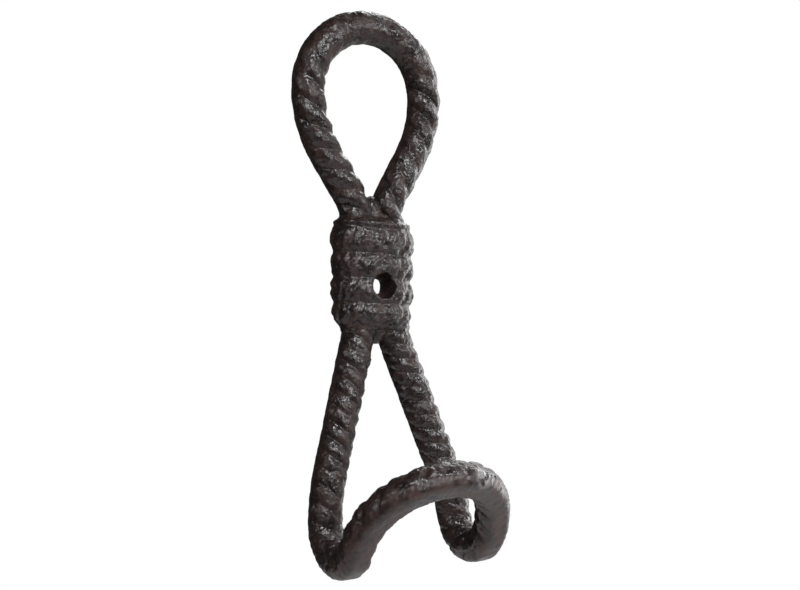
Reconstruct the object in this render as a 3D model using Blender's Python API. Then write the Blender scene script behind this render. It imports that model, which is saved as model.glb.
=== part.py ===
"""Cast-iron wall hook in the form of a knotted rope.

One casting: an upper loop, a four-turn knot with the screw hole through it, two legs and a
hook, where the rope turns forward and up off the wall and closes over the front. Each run
of the rope is its own object. Metres, +Z up, wall plane at y = 0, the room at -Y. The origin
is on the wall plane, at the middle of the back of the knot's top turn.
"""
import math

import bmesh
import bpy
from mathutils import Vector

MM = 0.001
GAP = 0.3 * MM                      # between neighbouring runs of the casting

# Rope section: strands on the front half, a smooth back half with a flat strip
ROPE_RADIUS = 5.9 * MM              # mean radius of the strands, and half the width
STRAND_LOBE = 0.3 * MM              # how far a strand stands above the mean radius
STRAND_COUNT = 3
BACK_DEPTH = 6.25 * MM              # the back half, before it is cut flat
BACK_SQUARENESS = 2.3               # 2 is an ellipse, more is squarer
BACK_OFFSET = 5.7 * MM              # rope centre to the flat strip
SECTION_SIDES = 20

# Lay of the rope: length of one full turn of a strand
LOOP_LEAD = 25.5 * MM
LEG_LEAD = 17.0 * MM
HOOK_LEAD = 21.0 * MM

# Upper loop, centreline, from its top down one side
LOOP_TOP = 78.4 * MM
CROWN_RADIUS = 24.5 * MM
SIDE_RADIUS = 45.0 * MM
SIDE_TURN = math.radians(31.5)
NECK_RADIUS = 14.0 * MM
NECK_X = 6.35 * MM                  # half the distance between the ropes at the knot

# Knot: turns from top to bottom (name, height, half width, centre across)
KNOT_TOP = 6.65 * MM
TURNS = (
    ("knot_turn_top", 13.3 * MM, 16.6 * MM, 0.1 * MM),
    ("knot_turn_upper", 9.0 * MM, 16.4 * MM, -0.3 * MM),
    ("knot_turn_lower", 9.1 * MM, 16.4 * MM, -0.7 * MM),
    ("knot_turn_bottom", 9.5 * MM, 15.7 * MM, -1.2 * MM),
)
KNOT_FRONT = 10.2 * MM              # rope centre plane to the front of the knot
FRONT_SQUARENESS = 2.7
KNOT_BACK = 6.2 * MM                # rope centre plane to the back, before it is cut flat
KNOT_BACK_SQUARENESS = 4.0
TURN_GROOVE = 1.9 * MM              # how far a turn's edge lies below its crest
TURN_SLOPE = math.tan(math.radians(5.0))

# Screw hole, its coned mouth at the front and a round hollow behind it
HOLE_Z = -18.4 * MM
HOLE_RADIUS = 2.8 * MM
MOUTH_RADIUS = 4.5 * MM
MOUTH_DEPTH = 5.0 * MM
HOLLOW_RADIUS = 5.7 * MM
HOLLOW_DEPTH = 6.0 * MM

# Legs and hook: the flat pattern of the rope (across, down) ...
LEG_TOP_X = 6.85 * MM
LEG_SPREAD = math.radians(18.0)
LEG_STRAIGHT = 53.0 * MM
LEG_CURVE = 80.0 * MM
FOOT_STRAIGHT = 26.0 * MM
CREST_HEIGHT = 30.5 * MM            # rise of the closing arch in the flat pattern
# ... and the way that pattern is bent forward, seen from the side
LEG_LEAN = math.radians(6.1)
LEG_STANDOFF = 0.2 * MM             # of the top of the leg's back from the wall plane
LEAN_LENGTH = 69.3 * MM
BEND_RADIUS = 12.9 * MM
BEND_ANGLE = math.radians(147.8)    # 0 is straight down, 180 straight up
LIMB_STRAIGHT = 6.0 * MM
CREST_ANGLE = math.radians(130.8)   # the crest flares outward again

LEG_LENGTH = 62.0 * MM              # along the rope, where the leg meets the foot bend
FOOT_LENGTH = 40.0 * MM             # along the foot bend
CREST_HALF = 15.0 * MM              # half the length of the crest run

PAINT = {
    "rope_paint": ((0.040, 0.029, 0.026, 1.0), 0.38, 0.25),
    "knot_paint": ((0.038, 0.028, 0.026, 1.0), 0.40, 0.25),
    "hook_paint": ((0.046, 0.033, 0.030, 1.0), 0.36, 0.25),
}


def clear_scene():
    for old in list(bpy.data.objects):
        bpy.data.objects.remove(old, do_unlink=True)


def painted(name):
    colour, roughness, metallic = PAINT[name]
    material = bpy.data.materials.new(name)
    material.use_nodes = True
    shader = material.node_tree.nodes["Principled BSDF"]
    shader.inputs["Base Color"].default_value = colour
    shader.inputs["Roughness"].default_value = roughness
    shader.inputs["Metallic"].default_value = metallic
    material.diffuse_color = colour
    return material


def turtle(start, heading, moves, step=0.5 * MM):
    """Points of a path of (length, turn) moves; heading is measured from +v toward +u."""
    point, points = Vector(start), [Vector(start)]
    for length, turn in moves:
        count = max(2, math.ceil(length / step))
        for i in range(count):
            angle = heading + turn * (i + 0.5) / count
            point = point + Vector((math.sin(angle), math.cos(angle))) * (length / count)
            points.append(point)
        heading += turn
    return points


class Path:
    """A centreline with its distance along, and at any distance a frame whose
    second axis points at the back of the rope."""

    def __init__(self, points, backs):
        self.points, self.backs = points, backs
        self.along = [0.0]
        for a, b in zip(points, points[1:]):
            self.along.append(self.along[-1] + (b - a).length)
        self.length = self.along[-1]

    def _find(self, s):
        s = min(max(s, 0.0), self.length)
        low, high = 0, len(self.along) - 1
        while high - low > 1:
            middle = (low + high) // 2
            if self.along[middle] <= s:
                low = middle
            else:
                high = middle
        span = self.along[high] - self.along[low]
        return low, high, (s - self.along[low]) / span

    def place(self, s):
        low, high, t = self._find(s)
        return self.points[low].lerp(self.points[high], t)

    def frame(self, s, reach=0.6 * MM):
        tangent = (self.place(s + reach) - self.place(s - reach)).normalized()
        low, high, t = self._find(s)
        back = self.backs[low].lerp(self.backs[high], t)
        back = (back - tangent * back.dot(tangent)).normalized()
        return self.place(s), tangent, back, tangent.cross(back)


def mirrored(points, backs):
    flip = Vector((-1.0, 1.0, 1.0))
    return ([p * flip for p in reversed(points[1:])] + points,
            [b * flip for b in reversed(backs[1:])] + backs)


def loop_path():
    """Left neck, over the top, down to the right neck, all in the wall plane."""
    crown = [(CROWN_RADIUS * math.pi / 2, math.pi / 2), (SIDE_RADIUS * SIDE_TURN, SIDE_TURN)]
    bulge = turtle((0.0, LOOP_TOP), math.pi / 2, crown)[-1]
    run_in = bulge.x - NECK_X - NECK_RADIUS * (1 - math.cos(SIDE_TURN))
    moves = crown + [(run_in / math.sin(SIDE_TURN), 0.0), (NECK_RADIUS * SIDE_TURN, -SIDE_TURN)]
    drop = turtle((0.0, LOOP_TOP), math.pi / 2, moves)[-1].y - KNOT_TOP
    half = turtle((0.0, LOOP_TOP), math.pi / 2, moves + [(drop, 0.0)])
    points = [Vector((p.x, -BACK_OFFSET, p.y)) for p in half]
    return Path(*mirrored(points, [Vector((0.0, 1.0, 0.0))] * len(points)))


def lean_angle(v, total):
    bend_start = LEAN_LENGTH
    bend_end = bend_start + BEND_RADIUS * (BEND_ANGLE - LEG_LEAN)
    flare = bend_end + LIMB_STRAIGHT
    if v < bend_start:
        return LEG_LEAN
    if v < bend_end:
        return LEG_LEAN + (v - bend_start) / BEND_RADIUS
    if v < flare:
        return BEND_ANGLE
    return BEND_ANGLE + (CREST_ANGLE - BEND_ANGLE) * (v - flare) / (total - flare)


def bight_path():
    """Left leg, foot, over the crest of the hook, down to the right leg."""
    moves = [(LEG_STRAIGHT, 0.0), (LEG_CURVE * LEG_SPREAD, -LEG_SPREAD), (FOOT_STRAIGHT, 0.0)]
    flat = turtle((LEG_TOP_X, 0.0), LEG_SPREAD, moves)
    wide, start = flat[-1].x, flat[-1].y
    for i in range(1, 81):
        angle = math.pi / 2 * i / 80
        flat.append(Vector((wide * math.cos(angle), start + CREST_HEIGHT * math.sin(angle))))
    total, points, backs = flat[-1].y, [], []
    y, z, v = -BACK_OFFSET - LEG_STANDOFF, knot_bottom(LEG_TOP_X), 0.0
    for p in flat:
        middle = lean_angle((v + p.y) / 2, total)
        y -= math.sin(middle) * (p.y - v)
        z -= math.cos(middle) * (p.y - v)
        v = p.y
        angle = lean_angle(v, total)
        points.append(Vector((p.x, y, z)))
        backs.append(Vector((0.0, math.cos(angle), -math.sin(angle))))
    points.reverse()
    backs.reverse()
    return Path(*mirrored(points, backs))


def knot_bottom(x):
    return KNOT_TOP - sum(turn[1] for turn in TURNS) - TURN_SLOPE * x


def loft(name, rings, material, collection):
    """A closed solid: the first ring is a face, extruded from each ring to the next."""
    bm = bmesh.new()
    corners = [bm.verts.new(p) for p in rings[0]]
    cap = bm.faces.new(corners)
    for step, ring in enumerate(rings[1:]):
        grown = bmesh.ops.extrude_face_region(bm, geom=[cap])["geom"]
        if step:
            bmesh.ops.delete(bm, geom=[cap], context="FACES_ONLY")
        cap = next(g for g in grown if isinstance(g, bmesh.types.BMFace))
        for loop, point in zip(match_ring(cap, corners), ring):
            loop.co = point
        corners = match_order(cap, ring)
    bmesh.ops.recalc_face_normals(bm, faces=bm.faces)
    bmesh.ops.triangulate(bm, faces=[f for f in bm.faces if len(f.verts) > 4])
    mesh = bpy.data.meshes.new(name)
    bm.to_mesh(mesh)
    bm.free()
    mesh.shade_smooth()
    mesh.set_sharp_from_angle(angle=math.radians(50))
    mesh.materials.append(material)
    piece = bpy.data.objects.new(name, mesh)
    collection.objects.link(piece)
    return piece


def match_ring(cap, corners):
    """The new face's corners in the order of the ring it grew from."""
    fresh = list(cap.verts)
    return [min(fresh, key=lambda v, c=c: (v.co - c.co).length_squared) for c in corners]


def match_order(cap, ring):
    fresh = list(cap.verts)
    return [min(fresh, key=lambda v, p=p: (v.co - p).length_squared) for p in ring]


def rope_ring(path, s, lay):
    """Section of the rope: strands round the front half, fading into the smooth back."""
    centre, _, back, side = path.frame(s)
    ring = []
    for i in range(SECTION_SIDES):
        angle = 2 * math.pi * (i + 0.5) / SECTION_SIDES
        across, inward = math.cos(angle), math.sin(angle)
        strand = STRAND_LOBE * math.cos(STRAND_COUNT * (angle - lay))
        if inward < 0:
            radius = ROPE_RADIUS + strand
        else:
            wide = ROPE_RADIUS + strand * (1 - inward)
            power = BACK_SQUARENESS
            radius = ((abs(across) / wide) ** power + (inward / BACK_DEPTH) ** power) ** (-1 / power)
        depth = min(radius * inward, BACK_OFFSET)
        ring.append(centre + side * (radius * across) + back * depth)
    return ring


def rope_run(name, path, start, end, lay_at, spacing, material, collection, trims=(None, None)):
    count = max(3, math.ceil((end - start) / spacing))
    rings = []
    for i in range(count + 1):
        s = start + (end - start) * i / count
        rings.append(rope_ring(path, s, lay_at(s)))
    for index, trim in zip((0, -1), trims):
        if trim:
            s = start if index == 0 else end
            tangent = path.frame(s)[1]
            rings[index] = [slide_to(point, tangent, trim) for point in rings[index]]
    return loft(name, rings, material, collection)


def slide_to(point, direction, height_at):
    """Move a point along a direction until it lies on the sloping plane z = height_at(x)."""
    slope = height_at(1.0) - height_at(0.0)
    return point + direction * ((height_at(point.x) - point.z) / (direction.z - slope * direction.x))


def knot_outline(wide, front, back, sides=32):
    """One turn seen from above: a rounded box, cut flat along the wall plane."""
    outline = []
    for i in range(sides):
        angle = 2 * math.pi * (i + 0.5) / sides
        c, s = math.cos(angle), math.sin(angle)
        deep, power = (front, FRONT_SQUARENESS) if s < 0 else (back, KNOT_BACK_SQUARENESS)
        radius = ((abs(c) / wide) ** power + (abs(s) / deep) ** power) ** (-1 / power)
        outline.append((radius * c, min(radius * s, BACK_OFFSET) - BACK_OFFSET))
    return outline


def knot_turn(name, top, bottom, wide, across, material, collection):
    """One turn: a band with a bulging edge, its back flat on the wall plane."""
    layers = 6
    middle, half = (top + bottom) / 2, (top - bottom) / 2
    rings = []
    for i in range(layers + 1):
        t = math.sin(math.pi / 2 * (2 * i / layers - 1))
        inset = TURN_GROOVE * (1 - math.sqrt(max(0.0, 1 - (0.96 * t) ** 2))) / 0.72
        outline = knot_outline(wide - inset, KNOT_FRONT - inset, KNOT_BACK)
        rings.append([Vector((x + across, y, middle + half * t - TURN_SLOPE * x))
                      for x, y in outline])
    return loft(name, rings, material, collection)


def screw_hole_cutter(material, collection):
    """A turned solid along Y: the coned mouth, the hole and the hollow behind it."""
    reach, sides = 3 * MM, 24
    front = TURN_GROOVE - KNOT_FRONT - BACK_OFFSET
    flare = (MOUTH_RADIUS - HOLE_RADIUS) / MOUTH_DEPTH
    profile = (
        (front - reach, MOUTH_RADIUS + flare * reach),
        (front + MOUTH_DEPTH, HOLE_RADIUS),
        (-HOLLOW_DEPTH, HOLE_RADIUS),
        (0.3 * MM - HOLLOW_DEPTH, HOLLOW_RADIUS),
        (reach, HOLLOW_RADIUS),
    )
    rings = []
    for y, radius in profile:
        angles = [2 * math.pi * (i + 0.3) / sides for i in range(sides)]
        rings.append([Vector((radius * math.cos(a), y, HOLE_Z + radius * math.sin(a)))
                      for a in angles])
    cutter = loft("screw_hole_cutter", rings, material, collection)
    cutter.hide_render = True
    cutter.display_type = "WIRE"
    return cutter


def cut(piece, cutter):
    modifier = piece.modifiers.new(cutter.name, "BOOLEAN")
    modifier.operation = "DIFFERENCE"
    modifier.solver = "EXACT"
    modifier.object = cutter


def build():
    clear_scene()
    hook = bpy.data.collections.new("rope_knot_wall_hook")
    cutters = bpy.data.collections.new("cutters")
    bpy.context.scene.collection.children.link(hook)
    bpy.context.scene.collection.children.link(cutters)
    rope, knot, limb = (painted(name) for name in ("rope_paint", "knot_paint", "hook_paint"))

    # Upper loop: necks, sides and crown
    loop = loop_path()
    middle = loop.length / 2
    crown = CROWN_RADIUS * math.radians(68)
    neck = 30.0 * MM
    lay = lambda s: 2 * math.pi * (s - middle) / LOOP_LEAD
    above_knot = lambda x: KNOT_TOP + GAP - TURN_SLOPE * x
    half_gap = GAP / 2
    rope_run("loop_neck_left", loop, 0.0, neck - half_gap, lay, 2.1 * MM, rope, hook,
             (above_knot, None))
    rope_run("loop_side_left", loop, neck + half_gap, middle - crown - half_gap, lay, 2.1 * MM,
             rope, hook)
    rope_run("loop_crown", loop, middle - crown + half_gap, middle + crown - half_gap, lay,
             2.1 * MM, rope, hook)
    rope_run("loop_side_right", loop, middle + crown + half_gap, loop.length - neck - half_gap,
             lay, 2.1 * MM, rope, hook)
    rope_run("loop_neck_right", loop, loop.length - neck + half_gap, loop.length, lay, 2.1 * MM,
             rope, hook, (None, above_knot))

    # Knot
    hole = screw_hole_cutter(knot, cutters)
    top = KNOT_TOP
    for name, height, wide, across in TURNS:
        turn = knot_turn(name, top - half_gap, top - height + half_gap, wide, across, knot, hook)
        if name in ("knot_turn_upper", "knot_turn_lower"):
            cut(turn, hole)
        top -= height

    # Legs, feet and hook
    bight = bight_path()
    total, centre = bight.length, bight.length / 2
    foot_end = LEG_LENGTH + FOOT_LENGTH
    turns_at = lambda d: min(d, LEG_LENGTH) / LEG_LEAD + max(d - LEG_LENGTH, 0.0) / HOOK_LEAD

    def bight_lay(s):
        if s <= centre:
            return 2 * math.pi * turns_at(s)
        return 2 * math.pi * (2 * turns_at(centre) - turns_at(total - s))

    under_knot = lambda x: knot_bottom(x) - GAP
    spans = (
        ("leg", 0.0, LEG_LENGTH, 1.9 * MM, rope),
        ("foot_bend", LEG_LENGTH, foot_end, 2.0 * MM, limb),
        ("hook_limb", foot_end, centre - CREST_HALF, 2.1 * MM, limb),
    )
    for name, start, end, spacing, paint in spans:
        first = start + half_gap if start else start
        last = end - half_gap
        trim = under_knot if name == "leg" else None
        rope_run(name + "_left", bight, first, last, bight_lay, spacing, paint, hook, (trim, None))
        rope_run(name + "_right", bight, total - last, total - first, bight_lay, spacing, paint,
                 hook, (None, trim))
    rope_run("hook_crest", bight, centre - CREST_HALF + half_gap, centre + CREST_HALF - half_gap,
             bight_lay, 2.1 * MM, limb, hook)


build()
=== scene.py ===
import math

import bmesh
import bpy
import numpy as np
from mathutils import Matrix, Vector


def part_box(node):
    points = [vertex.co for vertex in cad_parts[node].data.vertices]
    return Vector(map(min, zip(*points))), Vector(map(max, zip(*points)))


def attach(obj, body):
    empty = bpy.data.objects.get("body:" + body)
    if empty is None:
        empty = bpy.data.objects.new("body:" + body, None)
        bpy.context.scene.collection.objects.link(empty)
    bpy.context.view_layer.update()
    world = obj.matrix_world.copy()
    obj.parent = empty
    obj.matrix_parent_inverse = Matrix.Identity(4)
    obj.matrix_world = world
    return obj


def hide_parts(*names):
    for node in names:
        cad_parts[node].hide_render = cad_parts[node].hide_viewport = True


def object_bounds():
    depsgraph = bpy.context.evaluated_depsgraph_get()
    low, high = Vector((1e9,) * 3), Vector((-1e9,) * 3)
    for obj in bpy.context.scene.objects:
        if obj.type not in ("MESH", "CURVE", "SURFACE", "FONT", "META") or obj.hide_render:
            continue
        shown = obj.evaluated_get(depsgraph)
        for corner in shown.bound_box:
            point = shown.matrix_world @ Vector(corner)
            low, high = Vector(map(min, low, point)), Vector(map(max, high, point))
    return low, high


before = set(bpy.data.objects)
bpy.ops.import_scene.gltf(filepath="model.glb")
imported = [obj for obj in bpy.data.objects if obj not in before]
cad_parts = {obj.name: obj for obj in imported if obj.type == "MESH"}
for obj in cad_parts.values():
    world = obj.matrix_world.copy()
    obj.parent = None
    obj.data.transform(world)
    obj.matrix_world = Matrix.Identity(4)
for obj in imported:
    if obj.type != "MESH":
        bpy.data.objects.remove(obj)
cadLow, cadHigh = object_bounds()
mm = 0.001
print("frame:", len(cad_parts), "runs of the casting")

# The wall plane is y = 0 and the room is at -Y.
ropeRadius = 5.9 * mm
standOff = 5.7 * mm                 # from the wall to the rope's centre
strandSwell = 0.3 * mm              # how far the strands stand out of the plain rope
knotTop = 6.65 * mm                 # height at the middle of the knot
knotHeight = 40.9 * mm
ropeMargin = 0.14 * mm              # the ropes' backs stay just inside the knot's back
knotMargin = 0.03 * mm
knotSlope = math.tan(math.radians(5.0))


class Field:
    # a socket that takes part in arithmetic, in a shader or a geometry tree

    def __init__(self, graph, socket, vector=False):
        self.graph, self.socket, self.vector = graph, socket, vector

    def math(self, operation, *others, first=None):
        items = (self,) + others if first is None else (first, self)
        node = self.graph.make("ShaderNodeMath", {"operation": operation}, dict(enumerate(items)))
        return Field(self.graph, node.outputs[0])

    def __add__(self, other):
        if self.vector:
            return self.graph.vectorMath("ADD", self, other)
        return self.math("ADD", other)

    def __sub__(self, other):
        if self.vector:
            return self.graph.vectorMath("SUBTRACT", self, other)
        return self.math("SUBTRACT", other)

    def __mul__(self, other):
        if self.vector:
            return self.graph.vectorMath("SCALE", self, scale=other)
        if isinstance(other, Field) and other.vector:
            return self.graph.vectorMath("SCALE", other, scale=self)
        return self.math("MULTIPLY", other)

    def __truediv__(self, other):
        return self.math("DIVIDE", other)

    def __pow__(self, other):
        return self.math("POWER", other)

    def __neg__(self):
        return self * -1.0

    def __abs__(self):
        return self.math("ABSOLUTE")

    def __rsub__(self, other):
        return self.math("SUBTRACT", first=other)

    def __rtruediv__(self, other):
        return self.math("DIVIDE", first=other)

    __radd__ = __add__
    __rmul__ = __mul__

    def sin(self):
        return self.math("SINE")

    def cos(self):
        return self.math("COSINE")

    def sqrt(self):
        return self.math("SQRT")

    def exp(self):
        return self.math("EXPONENT")

    def atMost(self, limit):
        return self.math("MINIMUM", limit)

    def atLeast(self, limit):
        return self.math("MAXIMUM", limit)

    def ramp(self, low, high):
        # 0 below low and 1 above high, eased between them
        settings = {"interpolation_type": "SMOOTHSTEP"}
        sockets = {0: self, 1: low, 2: high, 3: 0.0, 4: 1.0}
        return Field(self.graph, self.graph.make("ShaderNodeMapRange", settings, sockets).outputs[0])

    def blend(self, low, high):
        # low where this is 0, high where it is 1
        return low + (high - low) * self


class Graph:
    def __init__(self, tree):
        self.tree = tree

    def make(self, kind, settings=None, sockets=None):
        node = self.tree.nodes.new(kind)
        for name, value in (settings or {}).items():
            setattr(node, name, value)
        for key, value in (sockets or {}).items():
            if isinstance(value, Field):
                self.tree.links.new(value.socket, node.inputs[key])
            elif isinstance(value, bpy.types.NodeSocket):
                self.tree.links.new(value, node.inputs[key])
            else:
                node.inputs[key].default_value = value
        return node

    def field(self, kind, settings=None, sockets=None, out=0, vector=False):
        return Field(self, self.make(kind, settings, sockets).outputs[out], vector)

    def vectorMath(self, operation, first, second=None, scale=None):
        sockets = {0: first}
        if second is not None:
            sockets[1] = second
        if scale is not None:
            sockets[3] = scale
        return self.field("ShaderNodeVectorMath", {"operation": operation}, sockets, vector=True)

    def mixColour(self, factor, low, high):
        settings = {"data_type": "RGBA"}
        return self.field("ShaderNodeMix", settings, {0: factor, 6: low, 7: high}, out=2)

    def noise(self, where, size, detail=2.0, roughness=0.5, seed=None):
        # size is the width of one feature, in metres
        settings = {"noise_dimensions": "3D" if seed is None else "4D"}
        sockets = {"Vector": where, "Scale": 1.0 / size, "Detail": detail, "Roughness": roughness}
        if seed is not None:
            sockets["W"] = seed
        return self.field("ShaderNodeTexNoise", settings, sockets)

    def named(self, name, vector=False):
        settings = {"data_type": "FLOAT_VECTOR" if vector else "FLOAT"}
        return self.field("GeometryNodeInputNamedAttribute", settings, {"Name": name}, vector=vector)

    def store(self, geometry, name, value, vector=False):
        settings = {"data_type": "FLOAT_VECTOR" if vector else "FLOAT", "domain": "POINT"}
        sockets = {"Geometry": geometry, "Name": name, "Value": value}
        return self.make("GeometryNodeStoreNamedAttribute", settings, sockets).outputs[0]


def geometryTree(name, inputs):
    # a new tree with its named inputs; a value's kind follows from its starting value
    tree = bpy.data.node_groups.new(name, "GeometryNodeTree")
    tree.interface.new_socket("Geometry", in_out="INPUT", socket_type="NodeSocketGeometry")
    for label, value in inputs.items():
        kind = {int: "NodeSocketInt", float: "NodeSocketFloat"}.get(type(value), "NodeSocketMaterial")
        socket = tree.interface.new_socket(label, in_out="INPUT", socket_type=kind)
        if value is not None:
            socket.default_value = value
    tree.interface.new_socket("Geometry", in_out="OUTPUT", socket_type="NodeSocketGeometry")
    graph = Graph(tree)
    entry = graph.make("NodeGroupInput")
    return graph, {socket.name: Field(graph, socket) for socket in entry.outputs if socket.name}


def closeTree(graph, geometry, finish):
    geometry = graph.make("GeometryNodeSetShadeSmooth", None, {"Geometry": geometry}).outputs[0]
    geometry = graph.make("GeometryNodeRealizeInstances", None, {"Geometry": geometry}).outputs[0]
    sockets = {"Geometry": geometry, "Material": finish}
    geometry = graph.make("GeometryNodeSetMaterial", None, sockets).outputs[0]
    graph.make("NodeGroupOutput", None, {0: geometry})
    return graph.tree


def runTree(piece, tree, values):
    # runs a tree on a piece and keeps the result as its plain mesh
    modifier = piece.modifiers.new(tree.name, "NODES")
    modifier.node_group = tree
    for item in tree.interface.items_tree:
        if item.in_out == "INPUT" and item.name in values:
            modifier[item.identifier] = values[item.name]
    return plainMesh(piece)


def plainMesh(piece):
    bpy.context.view_layer.update()
    graph = bpy.context.evaluated_depsgraph_get()
    mesh = bpy.data.meshes.new_from_object(piece.evaluated_get(graph))
    piece.modifiers.clear()
    old = piece.data
    piece.data = mesh
    bpy.data.meshes.remove(old)
    return piece


def addValues(mesh, label, values):
    # one number at each point of a mesh
    layer = mesh.attributes.new(label, "FLOAT", "POINT")
    layer.data.foreach_set("value", values.astype(np.float32))


def readPoints(mesh):
    places = np.empty(len(mesh.vertices) * 3, dtype=np.float32)
    mesh.vertices.foreach_get("co", places)
    return places.reshape(-1, 3)


def addObject(name, mesh):
    piece = bpy.data.objects.new(name, mesh)
    bpy.context.scene.collection.objects.link(piece)
    return piece


paintLooks = {
    "ropePaint": {"deep": (0.0105, 0.0066, 0.0056, 1), "brown": (0.0290, 0.0150, 0.0115, 1)},
    "knotPaint": {"deep": (0.0105, 0.0066, 0.0056, 1), "brown": (0.0290, 0.0150, 0.0115, 1)},
    "hookPaint": {"deep": (0.0120, 0.0074, 0.0062, 1), "brown": (0.0300, 0.0158, 0.0124, 1)},
}
paintDetail = {
    "mottle": 5.0 * mm,       # slow drift of the colour
    "grain": 2.2 * mm,        # sand grains of the mould under the paint
    "speck": 1.05 * mm,       # paint nibs
    "rubbedAndHighlight": (0.045, 0.038, 0.036, 1),        # thin paint on the strand tops, lighter also as a painted highlight
    "smoothFace": (0.050, 0.0275, 0.0220, 1),  # paint on the side that left the mould clean
    "dust": (0.050, 0.044, 0.042, 1),          # in the grooves
    "worn": (0.24, 0.23, 0.23, 1),             # painted highlight on the hook's shoulder, drawn as a nearly bare grey patch
    "bumpDepth": 0.28 * mm,
    "refraction": 1.52,
}


def castPaint(name):
    look = paintLooks[name]
    material = bpy.data.materials.new(name)
    material.use_nodes = True
    graph = Graph(material.node_tree)
    shader = material.node_tree.nodes["Principled BSDF"]
    where = graph.field("ShaderNodeTexCoord", None, None, out=3, vector=True)
    # crest is 1 on the strand tops, the patch marks a painted highlight on the hook's shoulder, plain on
    # the smooth half
    crest, patch, plain = (graph.field("ShaderNodeAttribute", {"attribute_name": label}, None, out=2)
                           for label in ("crest", "patch", "plain"))

    mottle = graph.noise(where, paintDetail["mottle"], 3.0, 0.55).ramp(0.34, 0.66)
    grain = graph.noise(where, paintDetail["grain"], 1.0, 0.5)
    speck = graph.noise(where, paintDetail["speck"], 0.0, 0.5)
    nibs = speck.ramp(0.58, 0.72)

    colour = graph.mixColour(mottle, look["deep"], look["brown"])
    colour = graph.mixColour(plain * (0.10 + 0.75 * mottle), colour, paintDetail["smoothFace"])
    # lighter strand tops: rubbed paint and a painted highlight where light catches the crests
    tops = crest.ramp(0.62, 1.0) * (1 - plain) * grain.ramp(0.46, 0.66)
    colour = graph.mixColour(tops * 0.55, colour, paintDetail["rubbedAndHighlight"])
    settled = (1 - crest).ramp(0.5, 1.0) * nibs * (1 - plain)
    colour = graph.mixColour(settled * 0.35, colour, paintDetail["dust"])

    # painted highlight: the patch turns nearly bare grey on the hook's shoulder, broken up by the grain
    worn = patch * grain.ramp(0.40, 0.56)
    colour = graph.mixColour(worn, colour, paintDetail["worn"])

    rough = 0.28 + 0.12 * mottle + 0.06 * plain - 0.10 * patch
    height = (1 - 0.5 * plain) * grain + (1 - 0.7 * plain) * (0.45 * speck + 0.12 * nibs)
    sockets = {"Strength": 1.0, "Distance": paintDetail["bumpDepth"], "Height": height}
    bump = graph.field("ShaderNodeBump", None, sockets, vector=True)
    for socket, value in (("Base Color", colour), ("Roughness", rough), ("Normal", bump)):
        material.node_tree.links.new(value.socket, shader.inputs[socket])
    shader.inputs["IOR"].default_value = paintDetail["refraction"]
    return material


paints = {name: castPaint(name) for name in paintLooks}
print("paints:", ", ".join(paints))


def walk(start, heading, moves, step=0.4 * mm):
    # points of a path of (length, turn) moves; the heading is measured from up toward right
    point, points = Vector(start), [Vector(start)]
    for length, turn in moves:
        count = max(2, math.ceil(length / step))
        for i in range(count):
            angle = heading + turn * (i + 0.5) / count
            point = point + Vector((math.sin(angle), math.cos(angle))) * (length / count)
            points.append(point)
        heading += turn
    return points


def mirrored(points, backs):
    flip = Vector((-1.0, 1.0, 1.0))
    return ([p * flip for p in reversed(points[1:])] + points,
            [b * flip for b in reversed(backs[1:])] + backs)


def pathMesh(name, points, backs, layAt, spacing):
    # a line of even spacing that carries, at each point, the rope's own directions and lay
    points, backs = np.array(points), np.array(backs)
    along = np.concatenate(([0.0], np.cumsum(np.linalg.norm(np.diff(points, axis=0), axis=1))))
    count = math.ceil(along[-1] / spacing)
    even = np.linspace(0.0, along[-1], count + 1)
    place, back = (np.stack([np.interp(even, along, values[:, i]) for i in range(3)], axis=1)
                   for values in (points, backs))
    for _ in range(6):
        place[1:-1] += 0.25 * (place[:-2] + place[2:] - 2 * place[1:-1])
    tangent = np.gradient(place, axis=0)
    tangent /= np.linalg.norm(tangent, axis=1)[:, None]
    back -= tangent * (back * tangent).sum(axis=1)[:, None]
    back /= np.linalg.norm(back, axis=1)[:, None]
    side = np.cross(tangent, back)
    mesh = bpy.data.meshes.new(name)
    mesh.from_pydata(place.tolist(), [(i, i + 1) for i in range(count)], [])
    for label, values in (("backward", back), ("sideways", side)):
        layer = mesh.attributes.new(label, "FLOAT_VECTOR", "POINT")
        layer.data.foreach_set("vector", values.astype(np.float32).ravel())
    addValues(mesh, "lay", np.array([layAt(s, along[-1]) for s in even]))
    # 0 on the rope along the wall, 1 on the rope of the hook
    addValues(mesh, "turned", np.clip(-back[:, 2] * 1.6 - 0.2, 0.0, 1.0))
    # 1 where the strands are nearly worn away, over the top of the loop
    worn = (place[:, 2] - loopSizes["wornFrom"]) / loopSizes["wornOver"]
    addValues(mesh, "worn", np.clip(worn, 0.0, 1.0))
    return addObject(name, mesh)


loopSizes = {
    "top": 78.4 * mm,
    "crown": 24.5 * mm,                 # radius over the top
    "side": 45.0 * mm,                  # radius down each side
    "sideTurn": math.radians(31.5),
    "neck": 14.0 * mm,                  # radius where the sides run in to the knot
    "neckX": 6.35 * mm,
    "lead": 25.5 * mm,                  # one full turn of a strand
    "wornFrom": 61.0 * mm,              # height where the strands start to fade
    "wornOver": 9.0 * mm,
    "intoKnot": 9.0 * mm,
}


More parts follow.
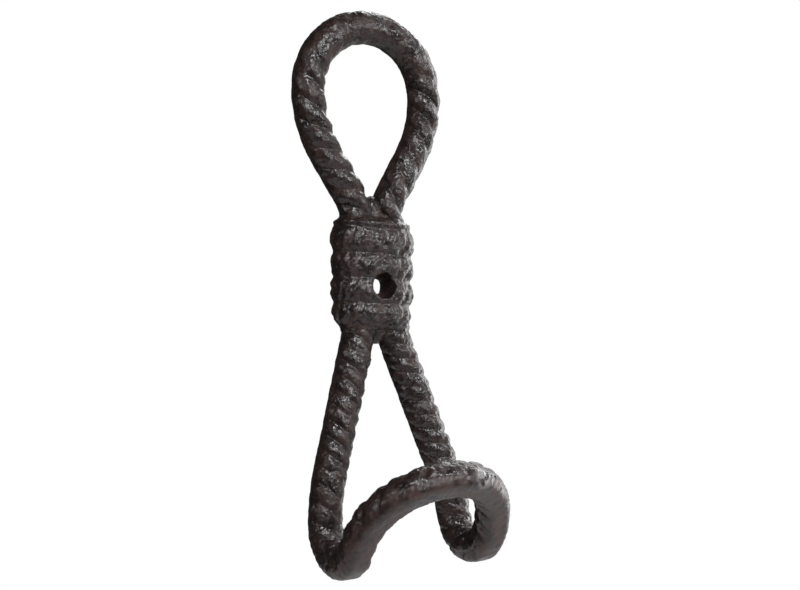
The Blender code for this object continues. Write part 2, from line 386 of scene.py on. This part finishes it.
def loopLine():
    z = loopSizes
    crown = [(z["crown"] * math.pi / 2, math.pi / 2), (z["side"] * z["sideTurn"], z["sideTurn"])]
    start = (0.0, z["top"])
    bulge = walk(start, math.pi / 2, crown)[-1]
    runIn = bulge.x - z["neckX"] - z["neck"] * (1 - math.cos(z["sideTurn"]))
    moves = crown + [(runIn / math.sin(z["sideTurn"]), 0.0),
                     (z["neck"] * z["sideTurn"], -z["sideTurn"])]
    drop = walk(start, math.pi / 2, moves)[-1].y - knotTop + z["intoKnot"]
    half = walk(start, math.pi / 2, moves + [(drop, 0.0)])
    points = [Vector((p.x, -standOff, p.y)) for p in half]
    points, backs = mirrored(points, [Vector((0.0, 1.0, 0.0))] * len(points))

    def layAt(s, total):
        return 2 * math.pi * (s - total / 2) / z["lead"]

    return pathMesh("loopRope", points, backs, layAt, 0.45 * mm)


bightSizes = {
    "topX": 6.85 * mm,
    "spread": math.radians(18.0),
    "straight": 53.0 * mm,
    "curve": 80.0 * mm,                 # radius where the legs turn parallel
    "foot": 26.0 * mm,
    "crestRise": 30.5 * mm,             # of the closing arch, laid flat
    "lean": math.radians(6.1),
    "clearWall": 0.2 * mm,
    "leanLength": 69.3 * mm,
    "bend": 12.9 * mm,                  # radius of the turn off the wall
    "bendAngle": math.radians(147.8),
    "limb": 6.0 * mm,
    "crestAngle": math.radians(130.8),
    "legLength": 62.0 * mm,
    "legLead": 17.0 * mm,
    "hookLead": 21.0 * mm,
    "intoKnot": 8.0 * mm,
    "knotBottom": knotTop - knotHeight - knotSlope * 6.85 * mm,
    "archSteps": 120,
}


def leanAngle(v, total):
    z = bightSizes
    bendEnd = z["leanLength"] + z["bend"] * (z["bendAngle"] - z["lean"])
    flare = bendEnd + z["limb"]
    if v < z["leanLength"]:
        return z["lean"]
    if v < bendEnd:
        return z["lean"] + (v - z["leanLength"]) / z["bend"]
    if v < flare:
        return z["bendAngle"]
    return z["bendAngle"] + (z["crestAngle"] - z["bendAngle"]) * (v - flare) / (total - flare)


def bightLine():
    # the rope is laid out flat first, then bent forward and up
    z = bightSizes
    moves = [(z["straight"], 0.0), (z["curve"] * z["spread"], -z["spread"]), (z["foot"], 0.0)]
    flat = walk((z["topX"], 0.0), z["spread"], moves)
    wide, start = flat[-1].x, flat[-1].y
    for i in range(1, z["archSteps"] + 1):
        angle = math.pi / 2 * i / z["archSteps"]
        flat.append(Vector((wide * math.cos(angle), start + z["crestRise"] * math.sin(angle))))
    total, points, backs = flat[-1].y, [], []
    y, height, v = -standOff - z["clearWall"], z["knotBottom"], 0.0
    for p in flat:
        middle = leanAngle((v + p.y) / 2, total)
        y -= math.sin(middle) * (p.y - v)
        height -= math.cos(middle) * (p.y - v)
        v = p.y
        angle = leanAngle(v, total)
        points.append(Vector((p.x, y, height)))
        backs.append(Vector((0.0, math.cos(angle), -math.sin(angle))))
    # the hidden end, straight on up into the knot
    up = (points[0] - points[4]).normalized()
    points.insert(0, points[0] + up * z["intoKnot"])
    backs.insert(0, backs[0])
    points.reverse()
    backs.reverse()
    points, backs = mirrored(points, backs)

    def turnsAt(d):
        return min(d, z["legLength"]) / z["legLead"] + max(d - z["legLength"], 0) / z["hookLead"]

    def layAt(s, total):
        s, total = s - z["intoKnot"], total - 2 * z["intoKnot"]
        if s <= total / 2:
            return 2 * math.pi * turnsAt(s)
        return 2 * math.pi * (2 * turnsAt(total / 2) - turnsAt(total - s))

    return pathMesh("bightRope", points, backs, layAt, 0.45 * mm)


ropeInputs = {
    "Sides": 88,
    "Radius": ropeRadius + strandSwell,
    "Strands": 3,
    "Strand Depth": 1.05 * mm,
    "Strand Drift": 9.0 * mm,
    "Yarn Depth": 0.12 * mm,
    "Back Depth": 6.25 * mm,
    "Back Limit": standOff,
    "Squareness": 2.3,
    "Parting Ridge": 0.12 * mm,
    "Lump Size": 3.2 * mm,
    "Lump Depth": 1.25 * mm,
    "Grain Size": 1.5 * mm,
    "Grain Depth": 0.55 * mm,
    "Seed": 3.0,
    "Finish": None,
}


strandShape = {
    # places round the rope are the sine of the angle from its side toward its back
    "roundness": 0.85,
    "wallReach": 0.30,        # how far round the strands come, along the wall
    "wallFade": 0.30,
    "hookReach": 0.34,        # and on the hook
    "hookFade": 0.16,
    "faint": 0.16,            # what is left of them on the smooth half
    "arch": 1.5,              # and on the underside of the arch
    "yarns": 3,               # in each strand
    "ridgePlace": 0.03,       # past the reach
    "ridgeWidth": 0.09,
    "flatEase": 0.9 * mm,
}


def castSurface(graph, geometry, put, rough):
    # lumps and grains of the sand mould, along the surface's own direction
    where = graph.field("GeometryNodeInputPosition", vector=True)
    normal = graph.field("GeometryNodeInputNormal", vector=True)
    lumps = graph.noise(where, put["Lump Size"], 2.0, 0.5, put["Seed"])
    grains = graph.noise(where, put["Grain Size"], 2.0, 0.55, put["Seed"] + 7.0)
    # lumps sink a little more than they rise, and are about half as deep on plain faces
    push = (lumps - 0.56) * put["Lump Depth"] + (grains - 0.5) * put["Grain Depth"]
    push = push * (0.48 + 0.52 * rough)
    sockets = {"Geometry": geometry, "Offset": normal * push}
    return graph.make("GeometryNodeSetPosition", None, sockets).outputs[0]


def ropeTree():
    graph, put = geometryTree("sweptRope", ropeInputs)
    line = graph.make("GeometryNodeMeshToCurve", None, {0: put["Geometry"]}).outputs[0]
    place = graph.field("GeometryNodeInputPosition", vector=True)
    line = graph.store(line, "centre", place, vector=True)
    sockets = {"Resolution": put["Sides"], "Radius": ropeRadius}
    ring = graph.make("GeometryNodeCurvePrimitiveCircle", {"mode": "RADIUS"}, sockets).outputs[0]
    index = graph.field("GeometryNodeInputIndex")
    ring = graph.store(ring, "angle", index * (2 * math.pi) / put["Sides"])
    sockets = {"Curve": line, "Profile Curve": ring, "Fill Caps": True}
    swept = graph.make("GeometryNodeCurveToMesh", None, sockets).outputs[0]

    angle, lay, turned = graph.named("angle"), graph.named("lay"), graph.named("turned")
    centre, worn = graph.named("centre", vector=True), graph.named("worn")
    across, inward = angle.cos(), angle.sin()
    # the strands come and go along the rope, and fade where the casting is worn
    drift = graph.noise(centre, put["Strand Drift"], 1.0, 0.5, put["Seed"] + 3.0)
    strandDepth = put["Strand Depth"] * (2.8 * (drift - 0.17)).atLeast(0.3) * (1 - 0.75 * worn)
    # each strand is a rounded lobe, with a narrow groove beside it
    shape = strandShape
    raised = abs(((angle - lay) * put["Strands"] * 0.5).cos()) ** shape["roundness"]
    reach = turned.blend(shape["wallReach"], shape["hookReach"])
    front = 1 - inward.ramp(reach - turned.blend(shape["wallFade"], shape["hookFade"]), reach)
    # on the hook the strands also reach round the underside of the arch
    inner = turned * across.ramp(0.35, 0.6) * (1 - inward.ramp(0.78, 0.95))
    faint = (1 - front) * (shape["faint"] * (1 - inward.ramp(0.55, 0.95)) + shape["arch"] * inner)
    yarns = turned * (1 - front) * ((angle - lay) * put["Strands"] * shape["yarns"]).cos()
    wide = put["Radius"] - strandDepth * (1 - raised) * (front + faint) + put["Yarn Depth"] * yarns
    wide = wide - strandSwell * (1 - front)
    power = put["Squareness"]
    back = ((abs(across) / wide) ** power + (inward.atLeast(0.0) / put["Back Depth"]) ** power)
    back = back ** (-1 / power)
    radius = inward.math("GREATER_THAN", 0.0).blend(wide, back)
    ridge = (inward - reach - shape["ridgePlace"]) / shape["ridgeWidth"]
    radius = radius + put["Parting Ridge"] * (-(ridge * ridge)).exp()
    depth = (radius * inward).math("SMOOTH_MIN", put["Back Limit"], shape["flatEase"])
    side, backward = graph.named("sideways", vector=True), graph.named("backward", vector=True)
    position = centre + side * (radius * across) + backward * depth
    sockets = {"Geometry": swept, "Position": position}
    swept = graph.make("GeometryNodeSetPosition", None, sockets).outputs[0]
    swept = graph.store(swept, "crest", raised * front + 0.4 * (1 - front))
    swept = graph.store(swept, "plain", 1 - front)
    swept = castSurface(graph, swept, put, 1 - graph.named("plain"))
    return closeTree(graph, swept, put["Finish"])


def faceOutward(piece):
    shell = bmesh.new()
    shell.from_mesh(piece.data)
    bmesh.ops.recalc_face_normals(shell, faces=shell.faces)
    shell.to_mesh(piece.data)
    shell.free()


def keepInBox(piece, margin):
    # the paint never stands outside the casting's own size
    low, high = np.array(cadLow) + margin, np.array(cadHigh) - margin
    places = np.clip(readPoints(piece.data), low, high)
    piece.data.vertices.foreach_set("co", places.astype(np.float32).ravel())
    piece.data.update()


def makeRope(line, paint, changes):
    values = dict(ropeInputs)
    values.update(changes)
    values["Finish"] = paints[paint]
    runTree(line, sweptRope, values)
    faceOutward(line)
    keepInBox(line, ropeMargin)
    print(line.name + ":", len(line.data.polygons), "faces")
    return line


def markHighlightPatch(piece, centre, reach):
    # a painted highlight: full within 0.4 of its reach, and none beyond it
    far = np.linalg.norm(readPoints(piece.data) - np.array(centre), axis=1)
    addValues(piece.data, "patch", np.clip((reach - far) / (0.6 * reach), 0.0, 1.0))


sweptRope = ropeTree()
loopRope = makeRope(loopLine(), "ropePaint", {})
bightChanges = {"Strand Depth": 0.78 * mm, "Lump Depth": 1.7 * mm, "Seed": 11.0}
bightRope = makeRope(bightLine(), "hookPaint", bightChanges)
# the place of the painted highlight, on the shoulder of the hook's arch
crestLow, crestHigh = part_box("hook_crest")
highlightPlace = (crestHigh.x - 6.6 * mm, crestLow.y + 2.4 * mm, crestHigh.z - 5.7 * mm)
markHighlightPatch(bightRope, highlightPlace, 5.0 * mm)


knotTurns = (
    {"name": "collar", "height": 3.7 * mm, "half": 15.1 * mm, "shift": 0.2 * mm, "topRound": 2.0 * mm},
    {"name": "topTurn", "height": 9.6 * mm, "half": 16.6 * mm, "shift": 0.1 * mm},
    {"name": "upperTurn", "height": 9.0 * mm, "half": 16.4 * mm, "shift": -0.3 * mm},
    {"name": "lowerTurn", "height": 9.1 * mm, "half": 16.4 * mm, "shift": -0.7 * mm},
    {"name": "bottomTurn", "height": 9.5 * mm, "half": 15.7 * mm, "shift": -1.2 * mm,
     "bottomRound": 2.2 * mm},
)
turnInputs = {
    "Sides": 260,
    "Layers": 34,
    "Middle": 0.0,
    "Half Height": 4.5 * mm,
    "Half Width": 16.4 * mm,
    "Shift": 0.0,
    "Front": 10.2 * mm,
    "Front Squareness": 2.5,
    "Back": 6.2 * mm,
    "Back Squareness": 4.0,
    "Groove": 1.9 * mm,
    "Slope": knotSlope,
    "Strand Spacing": 5.4 * mm,
    "Strand Depth": 1.15 * mm,
    "Strand Lean": 0.5,
    "Start": 0.0,
    "Top Round": 0.0,
    "Bottom Round": 0.0,
    "Finish": None,
}


def turnTree():
    graph, put = geometryTree("knotTurn", turnInputs)
    sockets = {"Vertices": put["Sides"], "Side Segments": put["Layers"], "Fill Segments": 1,
               "Radius": 1.0, "Depth": 2.0}
    band = graph.make("GeometryNodeMeshCylinder", {"fill_type": "NGON"}, sockets).outputs[0]
    place = graph.field("GeometryNodeInputPosition", vector=True)
    split = graph.make("ShaderNodeSeparateXYZ", None, {0: place})
    across, inward, layer = (Field(graph, split.outputs[i]) for i in range(3))
    bulge = (layer * (math.pi / 2)).sin()
    inset = put["Groove"] * (1 - (1 - bulge * bulge * 0.92).atLeast(0.0).sqrt()) / 0.72
    rounding = put["Top Round"] * bulge.ramp(-0.2, 1.0) + put["Bottom Round"] * (-bulge).ramp(-0.2, 1.0)
    inset = inset + rounding
    isFront = inward.math("LESS_THAN", 0.0)
    deep = isFront.blend(put["Back"], put["Front"] - inset)
    power = isFront.blend(put["Back Squareness"], put["Front Squareness"])
    wide = put["Half Width"] - inset
    outline = ((abs(across) / wide) ** power + (abs(inward) / deep) ** power) ** (-1 / power)
    # distance round the turn, from the middle of its front
    x, y = outline * across, outline * inward
    around = x + across.math("SIGN") * (y + put["Front"])
    wander = graph.noise(place, 0.35, 1.0, 0.5, put["Start"]) - 0.5
    phase = (around - bulge * put["Half Height"] * put["Strand Lean"]) / put["Strand Spacing"]
    phase = phase + wander * 1.6
    raised = abs((phase * math.pi + put["Start"]).cos()) ** 0.8
    front = 1 - inward.ramp(0.15, 0.5)
    dip = put["Strand Depth"] * (1 - raised) * front * (1 - 0.8 * bulge * bulge)
    x = x - dip * across
    y = (y - dip * inward).atMost(standOff) - standOff
    z = put["Middle"] + put["Half Height"] * bulge - put["Slope"] * x
    joined = graph.field("ShaderNodeCombineXYZ", None, {0: x + put["Shift"], 1: y, 2: z}, vector=True)
    band = graph.make("GeometryNodeSetPosition", None, {"Geometry": band, "Position": joined}).outputs[0]
    return closeTree(graph, band, put["Finish"])


knotDetail = {
    "turnOverlap": 0.15 * mm,
    "voxel": 0.42 * mm,
    "holeZ": -18.4 * mm,
    "holeRadius": 2.8 * mm,
    "mouthRadius": 4.5 * mm,
    "mouthDepth": 5.0 * mm,
    "hollowRadius": 5.7 * mm,
    "hollowDepth": 6.0 * mm,
    "hollowStep": 0.3 * mm,
    "holeSides": 48,
    "frontFace": 14.0 * mm,
    # fillets between the ropes, above and below the knot: centre and half sizes in mm
    "webs": (((0.0, -5.6, 8.8), (4.6, 4.9, 6.6)), ((-0.2, -6.2, -35.4), (4.6, 4.6, 4.6)),
             ((-6.6, -5.9, 6.2), (6.9, 6.3, 4.6)), ((6.6, -5.9, 5.2), (6.9, 6.3, 4.6)),
             ((-7.4, -6.0, -33.2), (6.7, 6.3, 4.6)), ((7.4, -6.0, -34.4), (6.7, 6.3, 4.6))),
    "lumpSize": 3.0 * mm,
    "lumpDepth": 1.25 * mm,
    "grainSize": 1.5 * mm,
    "grainDepth": 0.55 * mm,
}


def screwHole():
    # a turned tool along Y: coned mouth, hole, and the hollow at the back
    d = knotDetail
    flare = (d["mouthRadius"] - d["holeRadius"]) / d["mouthDepth"]
    reach = 3 * mm
    profile = ((-d["frontFace"] - reach, d["mouthRadius"] + flare * reach),
               (-d["frontFace"] + d["mouthDepth"], d["holeRadius"]),
               (-d["hollowDepth"], d["holeRadius"]),
               (-d["hollowDepth"] + d["hollowStep"], d["hollowRadius"]),
               (reach, d["hollowRadius"]))
    tool = bmesh.new()
    sides, rings = d["holeSides"], []
    for y, radius in profile:
        turn = [2 * math.pi * i / sides for i in range(sides)]
        rings.append([tool.verts.new((radius * math.cos(a), y, d["holeZ"] + radius * math.sin(a)))
                      for a in turn])
    for low, high in zip(rings, rings[1:]):
        for i in range(sides):
            tool.faces.new((low[i], low[(i + 1) % sides], high[(i + 1) % sides], high[i]))
    tool.faces.new(rings[0])
    tool.faces.new(rings[-1])
    bmesh.ops.recalc_face_normals(tool, faces=tool.faces)
    mesh = bpy.data.meshes.new("screwHole")
    tool.to_mesh(mesh)
    tool.free()
    return addObject("screwHole", mesh)


def skinTree():
    inputs = {"Lump Size": 1.0 * mm, "Lump Depth": 0.0, "Grain Size": 1.0 * mm, "Grain Depth": 0.0,
              "Seed": 5.0, "Finish": None}
    graph, put = geometryTree("castSkin", inputs)
    place = graph.field("GeometryNodeInputPosition", vector=True)
    split = graph.make("ShaderNodeSeparateXYZ", None, {0: place})
    x, y, z = (Field(graph, split.outputs[i]) for i in range(3))
    # the back and the inside of the screw hole stay plain
    plain = y.ramp(-5.5 * mm, -3.5 * mm)
    above = z - knotDetail["holeZ"]
    fromHole = (x * x + above * above).sqrt()
    plain = plain.atLeast(1 - fromHole.ramp(3.0 * mm, 4.4 * mm))
    geometry = graph.store(put["Geometry"], "plain", plain)
    # the front-most face counts as crest, so the paint lightens it as rubbed paint and painted highlight
    crest = (-y).ramp(12.6 * mm, 15.4 * mm)
    geometry = graph.store(geometry, "crest", crest)
    geometry = castSurface(graph, geometry, put, 1 - graph.named("plain"))
    return closeTree(graph, geometry, put["Finish"])


def buildKnot():
    d = knotDetail
    tree = turnTree()
    top, bands = knotTop, []
    for index, turn in enumerate(knotTurns):
        band = addObject(turn["name"], bpy.data.meshes.new(turn["name"]))
        values = dict(turnInputs)
        values["Middle"] = top - turn["height"] / 2
        values["Half Height"] = turn["height"] / 2 + d["turnOverlap"]
        values["Half Width"] = turn["half"]
        values["Shift"] = turn["shift"]
        values["Start"] = 1.3 * index
        values["Top Round"] = turn.get("topRound", 0.0)
        values["Bottom Round"] = turn.get("bottomRound", 0.0)
        values["Finish"] = paints["knotPaint"]
        bands.append(runTree(band, tree, values))
        top -= turn["height"]
    body = bmesh.new()
    for band in bands:
        body.from_mesh(band.data)
        bpy.data.objects.remove(band, do_unlink=True)
    for centre, half in d["webs"]:
        place = Matrix.Translation(Vector(centre) * mm) @ Matrix.Diagonal((*(Vector(half) * mm), 1.0))
        bmesh.ops.create_uvsphere(body, u_segments=32, v_segments=20, radius=1.0, matrix=place)
    mesh = bpy.data.meshes.new("knot")
    body.to_mesh(mesh)
    body.free()
    knot = addObject("knot", mesh)
    melt = knot.modifiers.new("melt", "REMESH")
    melt.mode = "VOXEL"
    melt.voxel_size = d["voxel"]
    plainMesh(knot)
    hole = screwHole()
    cut = knot.modifiers.new("hole", "BOOLEAN")
    cut.operation, cut.solver, cut.object = "DIFFERENCE", "EXACT", hole
    melt = knot.modifiers.new("melt", "REMESH")
    melt.mode = "VOXEL"
    melt.voxel_size = d["voxel"]
    ease = knot.modifiers.new("ease", "SMOOTH")
    ease.factor, ease.iterations = 0.5, 4
    plainMesh(knot)
    bpy.data.objects.remove(hole, do_unlink=True)
    values = {"Lump Size": d["lumpSize"], "Lump Depth": d["lumpDepth"], "Grain Size": d["grainSize"],
              "Grain Depth": d["grainDepth"], "Finish": paints["knotPaint"]}
    runTree(knot, skinTree(), values)
    faceOutward(knot)
    keepInBox(knot, knotMargin)
    print("knot:", len(knot.data.polygons), "faces")
    return knot


knot = buildKnot()

for piece, slot, nodes in (
    (loopRope, "rope_paint", ("loop_neck_left", "loop_side_left", "loop_crown", "loop_side_right",
                              "loop_neck_right")),
    (knot, "knot_paint", ("knot_turn_top", "knot_turn_upper", "knot_turn_lower",
                          "knot_turn_bottom")),
    (bightRope, "hook_paint", ("leg_left", "leg_right", "foot_bend_left", "foot_bend_right",
                               "hook_limb_left", "hook_limb_right", "hook_crest")),
):
    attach(piece, "root")
    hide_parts(*nodes)


viewSettings = {
    "turn": math.radians(29.91),        # the camera stands to the left of the wall's normal
    "rise": math.radians(-0.52),
    "roll": math.radians(1.87),
    "distance": 520.0 * mm,
    "lens": 62.7,
    "pivot": Vector((0.0, -5.7, -15.55)) * mm,
    "panRight": 10.07 * mm,
    "panUp": -5.97 * mm,
}


def viewAxes():
    v = viewSettings
    a, e, roll = v["turn"], v["rise"], v["roll"]
    right = Vector((math.cos(a), -math.sin(a), 0.0))
    up = Vector((math.sin(a) * math.sin(e), math.cos(a) * math.sin(e), math.cos(e)))
    toCamera = Vector((-math.sin(a) * math.cos(e), -math.cos(a) * math.cos(e), math.sin(e)))
    return (math.cos(roll) * right - math.sin(roll) * up,
            math.sin(roll) * right + math.cos(roll) * up, toCamera)


def addCamera():
    v = viewSettings
    right, up, toCamera = viewAxes()
    data = bpy.data.cameras.new("view")
    data.lens = v["lens"]
    data.sensor_width = 36.0
    data.clip_start = 0.01
    camera = addObject("view", data)
    place = v["pivot"] + right * v["panRight"] + up * v["panUp"] + toCamera * v["distance"]
    camera.matrix_world = Matrix.Translation(place) @ Matrix((right, up, toCamera)).transposed().to_4x4()
    bpy.context.scene.camera = camera


roomSettings = {
    "lampColour": (0.97, 0.975, 1.0),
    "floorRadius": 0.42,
    "floorDrop": 0.18,                  # below the hook
    "dimSide": 0.05,
    "brightSide": 0.93,                 # added to the dim side
}
lamps = {
    # direction as (right, up, toward the camera), distance, width, height, power
    "key": ((0.22, 0.80, 0.85), 0.8, 0.14, 0.14, 3.8),
    "side": ((0.90, 0.30, 0.55), 0.8, 0.10, 0.22, 2.2),
    "front": ((0.35, 0.22, 0.95), 0.8, 0.12, 0.12, 1.1),
    "left": ((-0.75, 0.40, 0.75), 0.8, 0.08, 0.08, 0.9),
    "rim": ((0.90, 0.10, -0.72), 0.8, 0.20, 0.90, 3.6),
    "behind": ((0.30, 0.75, -0.90), 0.9, 0.40, 0.40, 2.4),
}


def addLamps():
    right, up, toCamera = viewAxes()
    centre = (cadLow + cadHigh) / 2
    for name, (way, distance, width, height, power) in lamps.items():
        data = bpy.data.lights.new(name, "AREA")
        data.shape, data.size, data.size_y, data.energy = "RECTANGLE", width, height, power
        data.color = roomSettings["lampColour"]
        lamp = addObject(name, data)
        along = (right * way[0] + up * way[1] + toCamera * way[2]).normalized()
        lamp.matrix_world = Matrix.Translation(centre + along * distance) @ \
            along.to_track_quat("Z", "Y").to_matrix().to_4x4()


def addRoom():
    # a pale floor some way below, and a white room that lights the casting from its right and behind
    room = roomSettings
    floor = bmesh.new()
    bmesh.ops.create_circle(floor, cap_ends=True, segments=96, radius=room["floorRadius"])
    mesh = bpy.data.meshes.new("floor")
    floor.to_mesh(mesh)
    floor.free()
    mesh.transform(Matrix.Translation((0.0, -0.05, cadLow.z - room["floorDrop"])))
    pale = bpy.data.materials.new("paleFloor")
    pale.use_nodes = True
    shader = pale.node_tree.nodes["Principled BSDF"]
    shader.inputs["Base Color"].default_value = (0.8, 0.8, 0.8, 1)
    shader.inputs["Roughness"].default_value = 0.8
    mesh.materials.append(pale)
    addObject("floor", mesh)

    world = bpy.data.worlds.new("room")
    bpy.context.scene.world = world
    world.use_nodes = True
    graph = Graph(world.node_tree)
    world.node_tree.nodes.clear()
    right, up, toCamera = viewAxes()
    way = graph.field("ShaderNodeTexCoord", None, None, out=0, vector=True)
    bright = (right * 0.80 - toCamera * 0.58 + up * 0.18).normalized()
    toward = graph.field("ShaderNodeVectorMath", {"operation": "DOT_PRODUCT"},
                         {0: way, 1: bright}, out=1)
    glow = room["dimSide"] + room["brightSide"] * toward.ramp(0.3, 0.9)
    seen = graph.field("ShaderNodeLightPath", None, None, out=0)
    strength = seen.blend(glow, 1.0)
    sheet = graph.make("ShaderNodeBackground", None, {"Color": (1, 1, 1, 1), "Strength": strength})
    graph.make("ShaderNodeOutputWorld", None, {"Surface": sheet.outputs[0]})


addCamera()
addLamps()
addRoom()
bpy.context.scene.view_settings.view_transform = "Standard"
print("room and camera ready")
